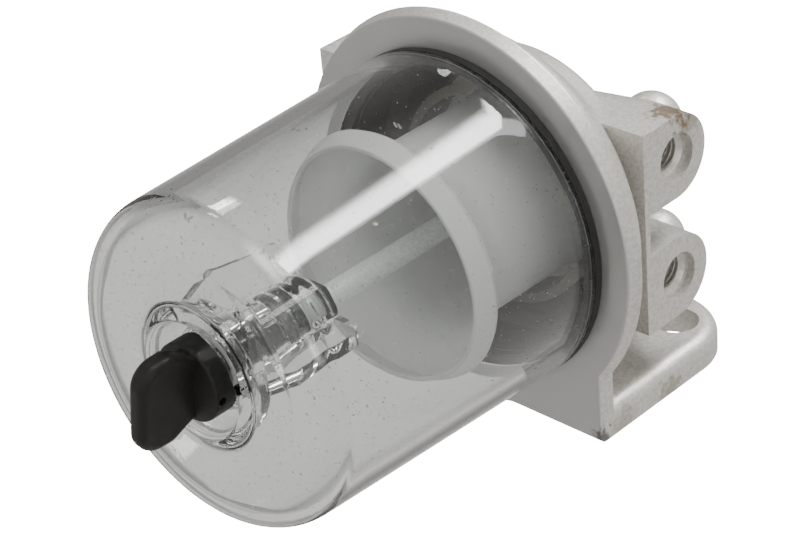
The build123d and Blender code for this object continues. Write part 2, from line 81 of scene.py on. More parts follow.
class Palette(Enum):
    """Base colours of the object's finishes, in linear light, among them painted shade for the head's
    chamber and painted glints for the insert.
    """

    CAST_LIGHT = (0.69, 0.67, 0.63)
    CAST_DARK = (0.55, 0.535, 0.50)
    # Painted shade for the closed chamber inside the head.
    CAST_SHADE = (0.13, 0.12, 0.10)
    FACE_GREY = (0.45, 0.445, 0.435)
    RUST_BROWN = (0.17, 0.105, 0.045)
    OIL_GREEN = (0.20, 0.19, 0.10)
    SOOT = (0.03, 0.028, 0.025)
    CLEAR = (0.93, 0.94, 0.93)
    SCUFF = (0.62, 0.62, 0.60)
    MILK = (0.88, 0.895, 0.875)
    ZINC_LIGHT = (0.88, 0.93, 0.90)
    ZINC_DARK = (0.72, 0.77, 0.74)
    NIGHT = (0.0105, 0.010, 0.0092)
    RUBBER = (0.016, 0.016, 0.017)
    DARK_STEEL = (0.05, 0.052, 0.048)
    # Painted glints for the near-black insert.
    PAINTED_GLINT = (0.17, 0.18, 0.17)
    SOFT_METAL = (0.60, 0.60, 0.58)

    @property
    def rgba(self) -> tuple[float, float, float, float]:
        """The colour with full opacity."""
        return (*self.value, 1.0)


class NodeBench:
    """A node tree with short calls for adding and joining nodes.

    The Mix node has sockets for every kind of value, and the indices are those of its colours.
    """

    MIX_INPUTS = (0, 6, 7)
    MIX_OUTPUT = 2

    def __init__(self, tree: bpy.types.NodeTree) -> None:
        """Keep the tree that is worked on."""
        self.tree = tree

    def add(self, kind: str, **inputs: object) -> bpy.types.Node:
        """Add a node and set or link its inputs.

        Args:
            kind: The node's type name.
            **inputs: Input names in lower case with underscores; a socket is linked.

        Returns:
            The new node.
        """
        node = self.tree.nodes.new(kind)
        for name, value in inputs.items():
            self.feed(node, name, value)
        return node

    def feed(self, node: bpy.types.Node, name: str, value: object) -> None:
        """Set one input of a node, or link a socket to it.

        Args:
            node: The node whose input is set.
            name: The input's name in lower case with underscores, or its index after "at_".
            value: A plain value or an output socket.
        """
        if name.startswith("at_"):
            socket = node.inputs[int(name.removeprefix("at_"))]
        else:
            wanted = name.replace("_", " ")
            socket = next(s for s in node.inputs if s.name.lower() == wanted)
        if isinstance(value, bpy.types.NodeSocket):
            self.tree.links.new(value, socket)
        else:
            socket.default_value = value

    def math(self, operation: str, first: object, second: object = 0.0) -> bpy.types.NodeSocket:
        """Add a math node.

        Args:
            operation: What it does, in Blender's word.
            first: Its first value or socket.
            second: Its second value or socket.

        Returns:
            Its result.
        """
        node = self.add("ShaderNodeMath", at_0=first, at_1=second)
        node.operation = operation
        return node.outputs[0]

    def spread(
        self, value: object, low: object, high: object, out_low: float = 0.0, out_high: float = 1.0
    ) -> bpy.types.NodeSocket:
        """Spread a value between two limits smoothly over a new range.

        Args:
            value: The socket that is read.
            low: The value that gives out_low.
            high: The value that gives out_high.
            out_low: The result at low.
            out_high: The result at high.

        Returns:
            The spread value.
        """
        node = self.add(
            "ShaderNodeMapRange",
            at_0=value,
            at_1=low,
            at_2=high,
            at_3=out_low,
            at_4=out_high,
        )
        node.interpolation_type = "SMOOTHSTEP"
        return node.outputs[0]

    def mix(self, share: object, first: object, second: object) -> bpy.types.NodeSocket:
        """Mix two colours.

        Args:
            share: How much of the second colour there is.
            first: The first colour.
            second: The second colour.

        Returns:
            The mixed colour.
        """
        node = self.tree.nodes.new("ShaderNodeMix")
        node.data_type = "RGBA"
        for index, value in zip(self.MIX_INPUTS, (share, first, second)):
            self.feed(node, f"at_{index}", value)
        return node.outputs[self.MIX_OUTPUT]

    def noise(self, scale: object, detail: float = 2.0) -> bpy.types.NodeSocket:
        """Add noise on object coordinates.

        Args:
            scale: How fine the noise is.
            detail: How many finer layers it has.

        Returns:
            Its value, from 0 to 1.
        """
        where = self.add("ShaderNodeTexCoord").outputs["Object"]
        node = self.add("ShaderNodeTexNoise", vector=where, scale=scale, detail=detail)
        return node.outputs[0]

    def distance(self, centre: object) -> bpy.types.NodeSocket:
        """Measure how far the surface is from a place, on object coordinates.

        Args:
            centre: The place.

        Returns:
            The distance in metres.
        """
        where = self.add("ShaderNodeTexCoord").outputs["Object"]
        apart = self.add("ShaderNodeVectorMath", at_0=where, at_1=centre)
        apart.operation = "DISTANCE"
        return apart.outputs["Value"]

    def place_group(self, tree: bpy.types.NodeTree, **inputs: object) -> bpy.types.Node:
        """Place a shared group and set its inputs.

        Args:
            tree: The group's tree.
            **inputs: Its input names in lower case with underscores.

        Returns:
            The group node.
        """
        node = self.tree.nodes.new("ShaderNodeGroup")
        node.node_tree = tree
        for name, value in inputs.items():
            self.feed(node, name, value)
        return node


@dataclass(frozen=True)
class Socket:
    """A named input of a node group, with its default."""

    name: str
    default: object
    kind: str = "NodeSocketFloat"


class SharedEffects:
    """Shader node groups that the finishes place."""

    NOISE_MIDDLE = 0.5
    NOISE_REACH = 4.0
    SPOT_CORE = 0.35
    TONE_LIMITS = (0.3, 0.7)
    SCRATCH_TURNS = ((0.5, 0.2, 0.0), (-0.7, 0.9, 0.4), (1.2, -0.4, 1.1))
    SCRATCH_CORE = 0.4

    def __init__(self) -> None:
        """Build every group once."""
        self.spot = self._make_spot()
        self.grain = self._make_grain()
        self.scratches = self._make_scratches()

    @staticmethod
    def _start(
        name: str, inputs: Sequence[Socket], outputs: Sequence[str]
    ) -> tuple[NodeBench, dict[str, bpy.types.NodeSocket], bpy.types.Node]:
        """Make a group with named sockets.

        Args:
            name: The group's name.
            inputs: The inputs with their defaults.
            outputs: The names of the values that it puts out.

        Returns:
            A bench on the group, its inputs by name and its output node.
        """
        tree = bpy.data.node_groups.new(name, "ShaderNodeTree")
        for entry in inputs:
            socket = tree.interface.new_socket(entry.name, in_out="INPUT", socket_type=entry.kind)
            socket.default_value = entry.default
        for label in outputs:
            tree.interface.new_socket(label, in_out="OUTPUT", socket_type="NodeSocketFloat")
        bench = NodeBench(tree)
        given = bench.add("NodeGroupInput").outputs
        return bench, {entry.name: given[entry.name] for entry in inputs}, bench.add("NodeGroupOutput")

    def _make_spot(self) -> bpy.types.NodeTree:
        """Make a ragged spot around one place, as a mask.

        Returns:
            The group's tree.
        """
        bench, given, result = self._start(
            "ragged_spot",
            [
                Socket("Centre", (0.0, 0.0, 0.0), "NodeSocketVector"),
                Socket("Radius", 0.005),
                Socket("Ragged", 0.6),
                Socket("Grain", 500.0),
            ],
            ["Mask"],
        )
        share = bench.math("DIVIDE", bench.distance(given["Centre"]), given["Radius"])
        shift = bench.math("SUBTRACT", bench.noise(given["Grain"], detail=4.0), self.NOISE_MIDDLE)
        shift = bench.math("MULTIPLY", shift, given["Ragged"])
        share = bench.math("ADD", share, bench.math("MULTIPLY", shift, self.NOISE_REACH))
        bench.feed(result, "mask", bench.spread(share, 1.0, self.SPOT_CORE))
        return bench.tree

    def _make_grain(self) -> bpy.types.NodeTree:
        """Make the coarse and fine grain of a cast or moulded skin, as a height and a tone.

        Returns:
            The group's tree.
        """
        bench, given, result = self._start(
            "skin_grain",
            [Socket("Coarse", 260.0), Socket("Fine", 1500.0), Socket("Fine share", 0.5)],
            ["Height", "Tone"],
        )
        coarse = bench.noise(given["Coarse"], detail=3.0)
        fine_part = bench.math("MULTIPLY", bench.noise(given["Fine"]), given["Fine share"])
        bench.feed(result, "height", bench.math("ADD", coarse, fine_part))
        bench.feed(result, "tone", bench.spread(coarse, *self.TONE_LIMITS))
        return bench.tree

    def _make_scratches(self) -> bpy.types.NodeTree:
        """Make short scratches that run in a few directions, as a mask.

        Returns:
            The group's tree.
        """
        bench, given, result = self._start(
            "short_scratches",
            [
                Socket("Density", 480.0),
                Socket("Slimness", 0.2),
                Socket("Width", 0.08),
                Socket("Amount", 0.9),
            ],
            ["Mask"],
        )
        where = bench.add("ShaderNodeTexCoord").outputs["Object"]
        shape = bench.add("ShaderNodeCombineXYZ", x=1.0, y=1.0, z=given["Slimness"]).outputs[0]
        core = bench.math("MULTIPLY", given["Width"], self.SCRATCH_CORE)
        mask = 0.0
        for turn in self.SCRATCH_TURNS:
            turned = bench.add("ShaderNodeVectorRotate", vector=where, rotation=turn)
            turned.rotation_type = "EULER_XYZ"
            slim = bench.add("ShaderNodeVectorMath", at_0=turned.outputs[0], at_1=shape)
            slim.operation = "MULTIPLY"
            cells = bench.add("ShaderNodeTexVoronoi", vector=slim.outputs[0], scale=given["Density"])
            line = bench.spread(cells.outputs["Distance"], given["Width"], core)
            mask = bench.math("MAXIMUM", mask, line)
        bench.feed(result, "mask", bench.math("MULTIPLY", mask, given["Amount"]))
        return bench.tree


@dataclass(frozen=True)
class Stain:
    """A ragged stain: its place beside the bowl axis, its size, colour and strength."""

    x: float
    y: float
    height: float
    radius: float
    colour: Palette
    strength: float
    grain: float = 500.0

    def lay(self, bench: NodeBench, effects: SharedEffects, colour: object) -> bpy.types.NodeSocket:
        """Lay the stain over a colour.

        Args:
            bench: The material's bench.
            effects: The shared groups.
            colour: The colour below.

        Returns:
            The new colour.
        """
        spot = bench.place_group(
            effects.spot,
            centre=place(self.x, self.y, self.height),
            radius=self.radius * MM,
            grain=self.grain,
        )
        share = bench.math("MULTIPLY", spot.outputs["Mask"], self.strength)
        return bench.mix(share, colour, self.colour.rgba)


@dataclass(frozen=True)
class WallScuff:
    """A scuffed place on the bowl's outer wall: its angle from the ports' side, height and size."""

    degrees: float
    height: float
    radius: float
    mouth_radius: float = 52.4
    draft: float = 0.0337

    def area(self, bench: NodeBench) -> bpy.types.NodeSocket:
        """Find where the scuff lies.

        Args:
            bench: The material's bench.

        Returns:
            A mask that rises to the scuff's middle.
        """
        wall = self.mouth_radius + self.draft * self.height
        angle = math.radians(self.degrees)
        centre = place(wall * math.cos(angle), wall * math.sin(angle), self.height)
        return bench.spread(bench.distance(centre), self.radius * MM, 0.0)


@dataclass(frozen=True)
class Finish:
    """A finish whose colour runs from dark to light over its grain."""

    name: str
    light: Palette
    dark: Palette
    roughness: float
    metallic: float = 0.0
    coarse: float = 260.0
    fine: float = 1500.0
    bump: float = 0.15
    bump_depth: float = 0.3
    specular: float = 0.5
    extra: dict[str, object] = field(default_factory=dict)

    def make(self, effects: SharedEffects) -> bpy.types.Material:
        """Build the material.

        Args:
            effects: The shared groups.

        Returns:
            The material, ready for an object's slot.
        """
        material = bpy.data.materials.new(self.name)
        material.use_nodes = True
        bench = NodeBench(material.node_tree)
        shader = material.node_tree.nodes["Principled BSDF"]
        shader.inputs["Roughness"].default_value = self.roughness
        shader.inputs["Metallic"].default_value = self.metallic
        shader.inputs["Specular IOR Level"].default_value = self.specular
        for label, value in self.extra.items():
            shader.inputs[label].default_value = value
        grain = bench.place_group(effects.grain, coarse=self.coarse, fine=self.fine)
        colour = bench.mix(grain.outputs["Tone"], self.dark.rgba, self.light.rgba)
        self.dress(bench, effects, shader, grain, colour)
        return material

    def dress(
        self,
        bench: NodeBench,
        effects: SharedEffects,
        shader: bpy.types.Node,
        grain: bpy.types.Node,
        colour: bpy.types.NodeSocket,
    ) -> None:
        """Feed the colour and the grain's height to the shader."""
        bench.feed(shader, "base_color", colour)
        self.emboss(bench, shader, grain.outputs["Height"])

    def emboss(self, bench: NodeBench, shader: bpy.types.Node, height: object) -> None:
        """Feed a height to the shader's normal.

        Args:
            bench: The material's bench.
            shader: The material's shader.
            height: The height, in shares of the bump's depth.
        """
        bump = bench.add("ShaderNodeBump", height=height, strength=self.bump)
        bump.inputs["Distance"].default_value = self.bump_depth * MM
        bench.feed(shader, "normal", bump.outputs[0])


@dataclass(frozen=True)
class CastFinish(Finish):
    """Die-cast aluminium: a smooth flange face, painted shade in the chamber, and the stains that show.
    """

    stains: tuple[Stain, ...] = ()
    face_roughness: float = 0.42
    chamber_radius: float = 45.5
    chamber_side: float = 13.0
    chamber_slope: float = 0.4
    chamber_top: float = 31.0
    face_limits: tuple[float, float] = (0.5, 0.1)
    face_smoothness: float = 0.2

    def masks(self, bench: NodeBench) -> tuple[bpy.types.NodeSocket, bpy.types.NodeSocket]:
        """Find the flange face and the chamber.

        Args:
            bench: The material's bench.

        Returns:
            A mask of the flange face and one of the chamber inside it, where shade is painted.
        """
        where = bench.add("ShaderNodeTexCoord").outputs["Object"]
        beside = bench.add("ShaderNodeVectorMath", at_0=where, at_1=FACE_CENTRE)
        beside.operation = "SUBTRACT"
        axes = bench.add("ShaderNodeSeparateXYZ", vector=beside.outputs[0]).outputs
        squares = [bench.math("POWER", axis, 2.0) for axis in axes[:2]]
        out = bench.math("SQRT", bench.math("ADD", *squares))
        face = bench.spread(axes[2], *(limit * MM for limit in self.face_limits))
        above = bench.math("MAXIMUM", bench.math("SUBTRACT", axes[2], self.chamber_side * MM), 0.0)
        narrowing = bench.math("MULTIPLY", above, self.chamber_slope)
        limit = bench.math("SUBTRACT", self.chamber_radius * MM, narrowing)
        inside = bench.math("LESS_THAN", out, limit)
        low = bench.math("LESS_THAN", axes[2], self.chamber_top * MM)
        return face, bench.math("MULTIPLY", inside, low)

    def dress(
        self,
        bench: NodeBench,
        effects: SharedEffects,
        shader: bpy.types.Node,
        grain: bpy.types.Node,
        colour: bpy.types.NodeSocket,
    ) -> None:
        """Smooth the face, paint shade into the chamber and lay the stains.

        Args:
            bench: The material's bench.
            effects: The shared groups.
            shader: The material's shader.
            grain: The placed grain group.
            colour: The colour over the grain.
        """
        face, chamber_shade = self.masks(bench)
        colour = bench.mix(face, colour, Palette.FACE_GREY.rgba)
        # Painted shade: the chamber inside the flange is darkened, standing in for the shade in that
        # closed hollow.
        colour = bench.mix(chamber_shade, colour, Palette.CAST_SHADE.rgba)
        for stain in self.stains:
            colour = stain.lay(bench, effects, colour)
        bench.feed(shader, "base_color", colour)
        rough = bench.spread(face, 0.0, 1.0, self.roughness, self.face_roughness)
        bench.feed(shader, "roughness", rough)
        depth = bench.spread(face, 0.0, 1.0, 1.0, self.face_smoothness)
        self.emboss(bench, shader, bench.math("MULTIPLY", grain.outputs["Height"], depth))


@dataclass(frozen=True)
class ClearFinish(Finish):
    """Clear moulded plastic with short scratches, which gather in scuffs, and a faint waviness."""

    refraction: float = 1.5
    scratch_density: float = 480.0
    scratch_amount: float = 0.9
    scratch_width: float = 0.08
    scuff_width: float = 0.3
    waviness: float = 0.04
    scratch_depth: float = 0.5
    scratch_roughness: float = 0.5
    scuffs: tuple[WallScuff, ...] = ()

    def dress(
        self,
        bench: NodeBench,
        effects: SharedEffects,
        shader: bpy.types.Node,
        grain: bpy.types.Node,
        colour: bpy.types.NodeSocket,
    ) -> None:
        """Set the glass values, and roughen and cut the scratches.

        Args:
            bench: The material's bench.
            effects: The shared groups.
            shader: The material's shader.
            grain: The placed grain group.
            colour: The colour over the grain.
        """
        shader.inputs["Transmission Weight"].default_value = 1.0
        shader.inputs["IOR"].default_value = self.refraction
        area = 0.0
        for scuff in self.scuffs:
            area = bench.math("MAXIMUM", area, scuff.area(bench))
        scratches = bench.place_group(
            effects.scratches,
            density=self.scratch_density,
            width=bench.spread(area, 0.0, 1.0, self.scratch_width, self.scuff_width),
            amount=self.scratch_amount,
        )
        mask = scratches.outputs["Mask"]
        bench.feed(shader, "base_color", bench.mix(mask, colour, Palette.SCUFF.rgba))
        rough = bench.spread(mask, 0.0, 1.0, self.roughness, self.scratch_roughness)
        bench.feed(shader, "roughness", rough)
        waves = bench.math("MULTIPLY", grain.outputs["Height"], self.waviness)
        cuts = bench.math("MULTIPLY", mask, self.scratch_depth)
        self.emboss(bench, shader, bench.math("SUBTRACT", waves, cuts))


CAST_STAINS = (
    Stain(45.5, -30.3, 40.5, 7.0, Palette.RUST_BROWN, 0.8),
    Stain(49.0, -26.0, 43.5, 6.5, Palette.RUST_BROWN, 0.4),
    Stain(49.2, 59.5, 32.6, 6.0, Palette.OIL_GREEN, 0.5),
    Stain(48.9, 58.9, 0.8, 4.0, Palette.SOOT, 0.75),
    Stain(49.0, 58.5, 11.0, 6.0, Palette.OIL_GREEN, 0.35),
)

BOWL_SCUFFS = (
    WallScuff(-54.0, -60.0, 4.5),
    WallScuff(-50.6, -66.5, 4.0),
    WallScuff(-61.5, -34.0, 3.0),
    WallScuff(-74.6, -35.0, 4.0),
    WallScuff(-95.5, -55.0, 4.0),
    WallScuff(-107.0, -97.0, 7.0),
    WallScuff(-88.5, -101.0, 5.0),
    WallScuff(-56.0, -104.0, 5.0),
    WallScuff(-24.8, -73.4, 3.0),
)

FINISHES: dict[str, Finish] = {
    "cast_aluminium": CastFinish(
        "die_cast_aluminium",
        Palette.CAST_LIGHT,
        Palette.CAST_DARK,
        roughness=0.48,
        metallic=0.8,
        coarse=900.0,
        fine=3200.0,
        bump=0.55,
        bump_depth=0.12,
        stains=CAST_STAINS,
    ),
    "clear_plastic": ClearFinish(
        "clear_moulded_plastic",
        Palette.CLEAR,
        Palette.CLEAR,
        roughness=0.02,
        coarse=60.0,
        fine=300.0,
        bump=1.0,
        bump_depth=0.15,
        scuffs=BOWL_SCUFFS,
    ),
    "gasket_rubber": Finish("gasket_rubber", Palette.RUBBER, Palette.NIGHT, roughness=0.55, bump=0.2),
    "milky_plastic": Finish(
        "milky_plastic",
        Palette.MILK,
        Palette.MILK,
        roughness=0.42,
        coarse=90.0,
        fine=900.0,
        bump=0.05,
        extra={"Transmission Weight": 0.2, "IOR": 1.4},
    ),
    # Painted glints: the near-black insert is mottled with lighter patches that stand in for glints of
    # light.
    "dark_insert": Finish(
        "dark_insert",
        Palette.PAINTED_GLINT,
        Palette.NIGHT,
        roughness=0.4,
        metallic=0.4,
        coarse=420.0,
        fine=1800.0,
        bump=0.5,
        specular=0.3,
    ),
    "zinc_steel": Finish(
        "zinc_plated_steel",
        Palette.ZINC_LIGHT,
        Palette.ZINC_DARK,
        roughness=0.36,
        metallic=0.2,
        coarse=1100.0,
        fine=3200.0,
        bump=0.3,
    ),
    "dark_nut": Finish(
        "dark_plated_nut", Palette.DARK_STEEL, Palette.NIGHT, roughness=0.38, metallic=0.8
    ),
    "soft_washer": Finish(
        "soft_washer", Palette.SOFT_METAL, Palette.SOFT_METAL, roughness=0.4, metallic=0.9
    ),
    "black_plastic": Finish(
        "black_moulded_plastic",
        Palette.NIGHT,
        Palette.NIGHT,
        roughness=0.42,
        coarse=500.0,
        fine=2600.0,
        bump=0.12,
        specular=0.2,
    ),
    "seal_rubber": Finish("seal_rubber", Palette.RUBBER, Palette.NIGHT, roughness=0.5, bump=0.1),
}


class RidgeTree:
    """Geometry Nodes tree that sweeps ridges along helices, for threads and knurls."""

    INPUTS = (
        Socket("Radius", 0.005),
        Socket("Pitch", 0.0015),
        Socket("Turns", 5.0),
        Socket("Ridge", 0.0004),
        Socket("Steps", 48, "NodeSocketInt"),
        Socket("Copies", 1, "NodeSocketInt"),
        Socket("Right hand", True, "NodeSocketBool"),
        Socket("Finish", None, "NodeSocketMaterial"),
    )
    PROFILE_CORNERS = 4

    def __init__(self) -> None:
        """Build the tree once."""
        self.tree = bpy.data.node_groups.new("helical_ridges", "GeometryNodeTree")
        for entry in self.INPUTS:
            socket = self.tree.interface.new_socket(entry.name, in_out="INPUT", socket_type=entry.kind)
            if entry.default is not None:
                socket.default_value = entry.default
        self.tree.interface.new_socket("Geometry", in_out="OUTPUT", socket_type="NodeSocketGeometry")
        bench = NodeBench(self.tree)
        given = bench.add("NodeGroupInput").outputs
        rise = bench.math("MULTIPLY", given["Pitch"], given["Turns"])
        helix = bench.add(
            "GeometryNodeCurveSpiral",
            resolution=given["Steps"],
            rotations=given["Turns"],
            start_radius=given["Radius"],
            end_radius=given["Radius"],
            height=rise,
            reverse=given["Right hand"],
        )
        upright = bench.add("GeometryNodeSetCurveNormal", curve=helix.outputs[0])
        upright.mode = "Z_UP"
        profile = bench.add(
            "GeometryNodeCurvePrimitiveCircle", resolution=self.PROFILE_CORNERS, radius=given["Ridge"]
        )
        ridge = bench.add(
            "GeometryNodeCurveToMesh",
            curve=upright.outputs[0],
            profile_curve=profile.outputs[0],
            fill_caps=True,
        )
        points = bench.add("GeometryNodePoints", count=given["Copies"])
        index = bench.add("GeometryNodeInputIndex").outputs[0]
        angle = bench.math("DIVIDE", bench.math("MULTIPLY", index, math.tau), given["Copies"])
        turn = bench.add("ShaderNodeCombineXYZ", z=angle).outputs[0]
        copies = bench.add(
            "GeometryNodeInstanceOnPoints",
            points=points.outputs[0],
            instance=ridge.outputs[0],
            rotation=bench.add("FunctionNodeEulerToRotation", euler=turn).outputs[0],
        )
        whole = bench.add("GeometryNodeRealizeInstances", geometry=copies.outputs[0])
        dressed = bench.add(
            "GeometryNodeSetMaterial", geometry=whole.outputs[0], material=given["Finish"]
        )
        bench.add("NodeGroupOutput", geometry=dressed.outputs[0])

    def _set(self, modifier: bpy.types.Modifier, name: str, value: object) -> None:
        """Set one of the modifier's inputs by the socket's identifier.

        Args:
            modifier: The modifier that carries the tree.
            name: The input's name.
            value: What it is set to.
        """
        socket = next(
            item
            for item in self.tree.interface.items_tree
            if item.name == name and item.in_out == "INPUT"
        )
        modifier[socket.identifier] = value

    def mesh(self, name: str, values: dict[str, object]) -> bpy.types.Mesh:
        """Turn the tree's result into a plain mesh.

        Args:
            name: The mesh's name.
            values: The tree's inputs by name.

        Returns:
            The closed mesh, standing on the origin along Z.
        """
        carrier = bpy.data.objects.new(name, bpy.data.meshes.new(name))
        bpy.context.scene.collection.objects.link(carrier)
        modifier = carrier.modifiers.new(name, "NODES")
        modifier.node_group = self.tree
        for label, value in values.items():
            self._set(modifier, label, value)
        graph = bpy.context.evaluated_depsgraph_get()
        result = bpy.data.meshes.new_from_object(carrier.evaluated_get(graph), depsgraph=graph)
        carrier.modifiers.remove(modifier)
        bpy.data.objects.remove(carrier)
        result.name = name
        return result


@dataclass(frozen=True)
class Ridge:
    """A thread or knurl: ridges swept along helices round an axis.

    The foot is the place of the helix's start, and along is its axis.
    """

    name: str
    foot: tuple[float, float, float]
    along: tuple[float, float, float]
    radius: float
    pitch: float
    length: float
    ridge: float
    slot: str
    body: Body = Body.FIXED
    copies: int = 1
    right_hand: bool = True
    steps: int = 48

    def build(self, sweep: RidgeTree, finish: bpy.types.Material) -> bpy.types.Object:
        """Make the piece and let it ride on its body.

        Args:
            sweep: The tree that sweeps the ridges.
            finish: The piece's material.

        Returns:
            The new object.
        """
        mesh = sweep.mesh(
            self.name,
            {
                "Radius": self.radius * MM,
                "Pitch": self.pitch * MM,
                "Turns": self.length / self.pitch,
                "Ridge": self.ridge * MM,
                "Steps": self.steps,
                "Copies": self.copies,
                "Right hand": self.right_hand,
                "Finish": finish,
            },
        )
        turn = Vector((0, 0, 1)).rotation_difference(Vector(self.along)).to_matrix().to_4x4()
        mesh.transform(Matrix.Translation(place(*self.foot)) @ turn)
        shell = bmesh.new()
        shell.from_mesh(mesh)
        bmesh.ops.recalc_face_normals(shell, faces=shell.faces)
        shell.to_mesh(mesh)
        shell.free()
        piece = bpy.data.objects.new(self.name, mesh)
        bpy.context.scene.collection.objects.link(piece)
        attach(piece, self.body.value)
        LOG.info("%s: %d faces on %s", self.name, len(mesh.polygons), self.body.value)
        return piece


def heights_of(node: str) -> tuple[float, float]:
    """Find the lowest and highest point of a CAD node, in millimetres above the flange face."""
    low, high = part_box(node)
    return (low[2] - FACE_CENTRE.z) / MM, (high[2] - FACE_CENTRE.z) / MM


@dataclass
class HeadPorts:
    """Threads in the two open ports of the head."""

    reach: float = 34.9
    height: float = 38.4
    offsets: tuple[float, float] = (-17.1, 22.3)
    core_radius: float = 5.2
    pitch: float = 1.5
    length: float = 10.0
    ridge: float = 0.5

    def ridges(self) -> list[Ridge]:
        """List the threads, inlet first.

        Returns:
            The two threads.
        """
        return [
            Ridge(
                name,
                (self.reach, offset, self.height),
                (1, 0, 0),
                self.core_radius + self.ridge / 2,
                self.pitch,
                self.length,
                self.ridge,
                "cast_aluminium",
            )
            for name, offset in zip(("inlet_thread", "outlet_thread"), self.offsets)
        ]


@dataclass
class BossInsert:
    """Knurled bands of the insert, which bite into the bowl's boss."""

    radius: float = 5.82
    groove_width: float = 2.0
    helix_pitch: float = 36.0
    helix_steps: int = 64
    ridge: float = 0.42
    teeth: int = 22

    def ridges(self) -> list[Ridge]:
        """List the crossing ridges of the lower and the upper band.

        Returns:
            Two sets of ridges for each band.
        """
        low, high = heights_of("boss_insert")
        band = (high - low - self.groove_width) / 2
        return [
            Ridge(
                f"insert_knurl_{band_name}_{hand}",
                (0, 0, foot),
                (0, 0, 1),
                self.radius,
                self.helix_pitch,
                band,
                self.ridge,
                "dark_insert",
                copies=self.teeth,
                right_hand=hand == "right",
                steps=self.helix_steps,
            )
            for band_name, foot in (("lower", low), ("upper", high - band))
            for hand in ("right", "left")
        ]


@dataclass
class TieRod:
    """Thread of the rod's lower end, from the insert to just above the lock nut."""

    radius: float = 3.9
    pitch: float = 1.25
    run_out: float = 2.4
    ridge: float = 0.35

    def ridges(self) -> list[Ridge]:
        """List the one thread.

        Returns:
            The thread.
        """
        foot = heights_of("boss_insert")[1]
        top = heights_of("rod_lock_nut")[1] + self.run_out
        return [
            Ridge(
                "rod_thread",
                (0, 0, foot),
                (0, 0, 1),
                self.radius,
                self.pitch,
                top - foot,
                self.ridge,
                "zinc_steel",
            )
        ]


@dataclass
class DrainShank:
    """Thread of the drain screw's shank, in mesh with the bowl's boss."""

    radius: float = 4.52
    pitch: float = 1.5
    foot_gap: float = 0.9
    tip_gap: float = 0.9
    ridge: float = 0.42

    def ridges(self) -> list[Ridge]:
        """List the one thread, which starts above the O-ring.

        Returns:
            The thread.
        """
        foot = heights_of("drain_o_ring")[1] + self.foot_gap
        top = heights_of("drain_screw")[1] - self.tip_gap
        return [
            Ridge(
                "drain_thread",
                (0, 0, foot),
                (0, 0, 1),
                self.radius,
                self.pitch,
                top - foot,
                self.ridge,
                "black_plastic",
                Body.WING,
            )
        ]


def stand_for(
    name: str, shell: bmesh.types.BMesh, node: str, finish: bpy.types.Material
) -> bpy.types.Object:
    """Make a fixed, smooth piece of a shell and let it stand for a plain node.

    Args:
        name: The piece's name.
        shell: Its closed shell, which is freed.
        node: The CAD node that it stands for.
        finish: The piece's material.

    Returns:
        The new object.
    """
    mesh = bpy.data.meshes.new(name)
    shell.to_mesh(mesh)
    shell.free()
    kept_normals = mesh.attributes.get("custom_normal")
    if kept_normals is not None:
        mesh.attributes.remove(kept_normals)
    for polygon in mesh.polygons:
        polygon.use_smooth = True
    mesh.materials.clear()
    mesh.materials.append(finish)
    piece = bpy.data.objects.new(name, mesh)
    bpy.context.scene.collection.objects.link(piece)
    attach(piece, Body.FIXED.value)
    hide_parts(node)
    LOG.info("%s: %d faces on %s", name, len(mesh.polygons), Body.FIXED.value)
    return piece


@dataclass(frozen=True)
class Corner:
    """A corner of a turned outline: its radius and height, and how round it is."""

    radius: float
    height: float
    rounding: float = 0.3


def rounded_outline(corners: Sequence[Corner], arc_steps: int = 7) -> list[Vector]:
    """Round the corners of a closed outline.

    Args:
        corners: The corners in order.
        arc_steps: The number of chords in each corner's arc.

    Returns:
        The outline's points, each a radius and a height.
    """
    places = [Vector((corner.radius, corner.height)) for corner in corners]
    points = []
    for index, corner in enumerate(corners):
        here = places[index]
        back = (places[index - 1] - here).normalized()
        ahead = (places[(index + 1) % len(places)] - here).normalized()
        half = back.angle(ahead) / 2
        reach = corner.rounding / math.tan(half)
        centre = here + (back + ahead).normalized() * corner.rounding / math.sin(half)
        first, last = (here + side * reach - centre for side in (back, ahead))
        sweep = first.angle_signed(last)
        for step in range(arc_steps + 1):
            spoke = first.copy()
            spoke.rotate(Matrix.Rotation(-sweep * step / arc_steps, 2))
            points.append(centre + spoke)
    return points


